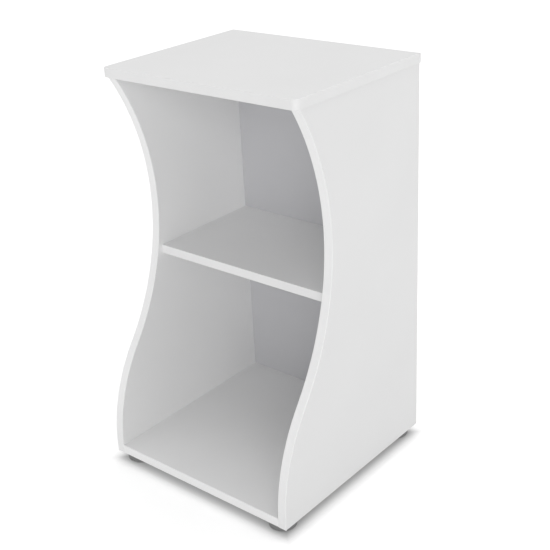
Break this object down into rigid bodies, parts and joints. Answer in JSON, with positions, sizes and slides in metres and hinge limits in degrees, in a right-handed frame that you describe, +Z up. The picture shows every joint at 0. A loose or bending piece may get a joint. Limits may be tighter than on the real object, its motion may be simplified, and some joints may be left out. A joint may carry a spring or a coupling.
{
  "type": "aquarium stand cabinet",
  "caption": "Open stand cabinet for a small aquarium: wave-fronted side panels, flat top, a shelf, a bottom and a back panel, on low round feet.",
  "frame": {"origin": "on the floor, under the middle of the cabinet's bounding box", "axes": "+Z up, +Y towards the back panel, so the open front faces -Y; +X to the right seen from the front"},
  "size_m": [0.4, 0.388, 0.713],
  "materials": {
    "white_board": "satin white melamine on chipboard",
    "edge_band": "satin white plastic edge band",
    "dowel_wood": "raw fluted beech",
    "bolt_steel": "zinc-plated steel",
    "cam_zinc": "die-cast zinc",
    "cap_plastic": "white moulded plastic",
    "foot_plastic": "dark grey moulded plastic",
    "pad_rubber": "matt non-slip rubber"
  },
  "bodies": {
    "root": {"back_lower_band": "edge_band", "back_panel": "white_board", "back_panel_cam_bolts": "bolt_steel", "back_panel_cam_caps": "cap_plastic", "back_panel_cam_locks": "cam_zinc", "back_panel_dowels": "dowel_wood", "back_panel_screws": "bolt_steel", "bottom_cam_bolts": "bolt_steel", "bottom_cam_caps": "cap_plastic", "bottom_cam_locks": "cam_zinc", "bottom_dowels": "dowel_wood", "bottom_front_band": "edge_band", "bottom_panel": "white_board", "foot_screws": "bolt_steel", "front_left_foot": "foot_plastic", "front_left_foot_pad": "pad_rubber", "front_right_foot": "foot_plastic", "front_right_foot_pad": "pad_rubber", "left_side_front_band": "edge_band", "left_side_lower_band": "edge_band", "left_side_panel": "white_board", "left_side_rear_band": "edge_band", "middle_shelf": "white_board", "rear_left_foot": "foot_plastic", "rear_left_foot_pad": "pad_rubber", "rear_right_foot": "foot_plastic", "rear_right_foot_pad": "pad_rubber", "right_side_front_band": "edge_band", "right_side_lower_band": "edge_band", "right_side_panel": "white_board", "right_side_rear_band": "edge_band", "screw_cover_caps": "cap_plastic", "shelf_cam_bolts": "bolt_steel", "shelf_cam_caps": "cap_plastic", "shelf_cam_locks": "cam_zinc", "shelf_dowels": "dowel_wood", "shelf_front_band": "edge_band", "top_dowels": "dowel_wood", "top_edge_band": "edge_band", "top_panel": "white_board", "top_rear_band": "edge_band"}
  },
  "joints": []
}
